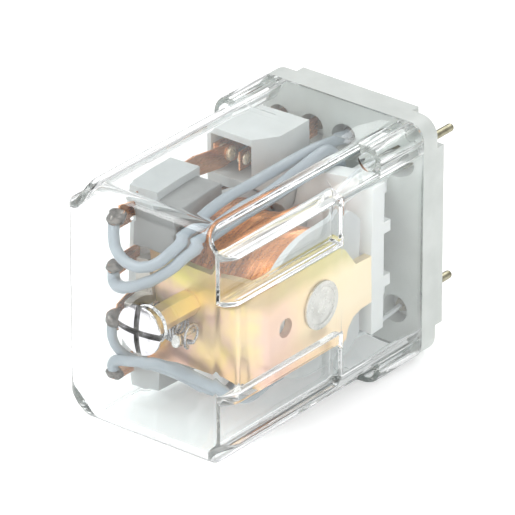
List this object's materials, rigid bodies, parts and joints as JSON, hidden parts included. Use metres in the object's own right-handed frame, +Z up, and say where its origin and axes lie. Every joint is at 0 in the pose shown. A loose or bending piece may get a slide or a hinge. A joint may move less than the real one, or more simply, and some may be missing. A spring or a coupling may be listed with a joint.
{
  "type": "control relay",
  "caption": "Plug-in industrial changeover relay with a clear cover, round pins, a coil with yoke and armature, and flexible leads to its moving contacts.",
  "frame": {"origin": "centre of the base's rear seating face, which lies on the socket", "axes": "+Y along the pins, away from the cover; +X towards the yoke and the coil pins; +Z up along the row of poles"},
  "size_m": [0.036, 0.072, 0.045],
  "materials": {
    "base_plastic": "satin moulded off-white thermoplastic",
    "pin_metal": "dull nickel-plated brass",
    "clear_cover": "clear colourless moulded polycarbonate",
    "screw_nickel": "bright nickel plate",
    "frame_plastic": "satin white moulded plastic",
    "block_plastic": "satin off-white moulded plastic",
    "yellow_chromate": "yellow-chromated zinc with iridescence",
    "core_steel": "machined, silver grey",
    "bobbin_plastic": "translucent grey moulded plastic",
    "copper_wire": "enamelled copper wire in close turns",
    "armature_steel": "stamped steel",
    "carrier_plastic": "satin light grey moulded plastic",
    "bridge_plastic": "satin dark grey moulded plastic",
    "rivet_steel": "bright steel",
    "silver_contact": "silver contact alloy",
    "copper_strip": "rolled copper alloy",
    "lead_insulation": "grey flexible insulation",
    "coil_lead_insulation": "pale grey flexible insulation",
    "spring_steel": "drawn spring wire"
  },
  "bodies": {
    "root": {"base": "base_plastic", "contact_pins": "pin_metal", "coil_pins": "pin_metal", "screw_post": "yellow_chromate", "frame_plate": "frame_plastic", "frame_screws": "screw_nickel", "contact_block": "block_plastic", "yoke": "yellow_chromate", "core": "core_steel", "bobbin": "bobbin_plastic", "winding": "copper_wire", "open_strip_1": "copper_strip", "open_strip_2": "copper_strip", "open_strip_3": "copper_strip", "open_strip_4": "copper_strip", "open_contacts": "silver_contact", "closed_strip_1": "copper_strip", "closed_strip_2": "copper_strip", "closed_strip_3": "copper_strip", "closed_strip_4": "copper_strip", "closed_contacts": "silver_contact", "lead_1": "lead_insulation", "lead_2": "lead_insulation", "lead_3": "lead_insulation", "lead_4": "lead_insulation", "coil_lead_1": "coil_lead_insulation", "coil_lead_2": "coil_lead_insulation", "return_spring": "spring_steel", "spring_stud": "rivet_steel"},
    "armature": {"armature": "armature_steel", "armature_carrier": "carrier_plastic", "carrier_bridge": "bridge_plastic", "carrier_rivets": "rivet_steel", "moving_arm_1": "copper_strip", "moving_arm_2": "copper_strip", "moving_arm_3": "copper_strip", "moving_arm_4": "copper_strip", "moving_contacts": "silver_contact"},
    "cover": {"cover": "clear_cover"},
    "screw": {"cover_screw": "screw_nickel"}
  },
  "joints": [
    {"name": "armature_swing", "type": "hinge", "parent": "root", "child": "armature", "pos_m": [-0.0087, -0.0459, 0], "axis": [0, 0, -1], "range_deg": [0, 4], "stiffness_Nm_per_rad": 0.02, "springref_deg": -8.59, "deforming": ["return_spring", "lead_1", "lead_2", "lead_3", "lead_4"]},
    {"name": "cover_slide", "type": "slide", "parent": "root", "child": "cover", "axis": [0, -1, 0], "range_m": [0, 0.06]},
    {"name": "screw_turn", "type": "hinge", "parent": "cover", "child": "screw", "pos_m": [0, -0.0587, 0], "axis": [0, -1, 0], "continuous": true}
  ]
}
